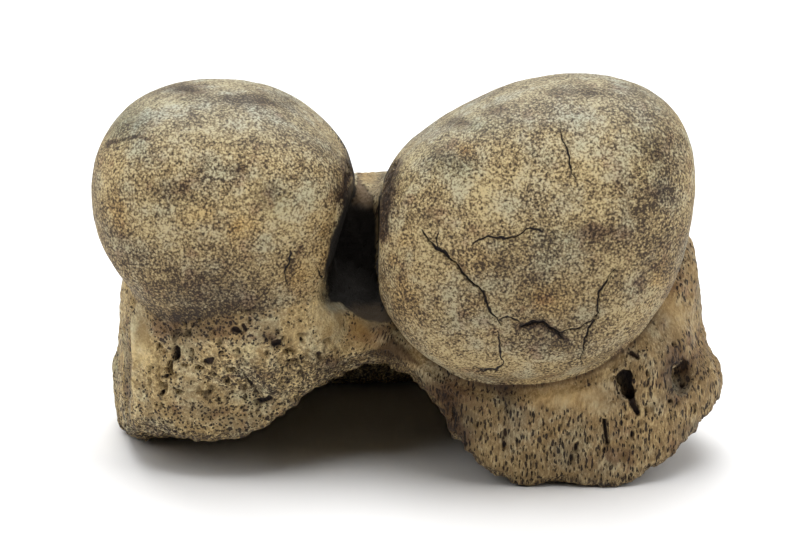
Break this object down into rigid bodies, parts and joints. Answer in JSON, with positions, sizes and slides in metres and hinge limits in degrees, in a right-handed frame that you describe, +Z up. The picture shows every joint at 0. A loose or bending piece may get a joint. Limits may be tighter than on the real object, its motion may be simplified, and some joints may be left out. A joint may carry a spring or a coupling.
{
  "type": "mammoth femur fragment",
  "caption": "Broken-off lower end of a mammoth's thigh bone: two rounded condyles, parted by a deep notch, above flared porous walls with an arch under them. It stands on its break.",
  "frame": {"origin": "middle of the bounding box's bottom, on the floor that the broken end stands on", "axes": "+X from the lateral condyle to the medial one, +Y from the back of the knee to the kneecap's groove, +Z up, towards the knee joint"},
  "size_m": [0.2014, 0.1398, 0.1286],
  "materials": {
    "bone": "old tan bone with dark specks, satin on the joint surfaces and matt and porous on the walls"
  },
  "bodies": {
    "root": {"femur_fragment": "bone"}
  },
  "joints": []
}
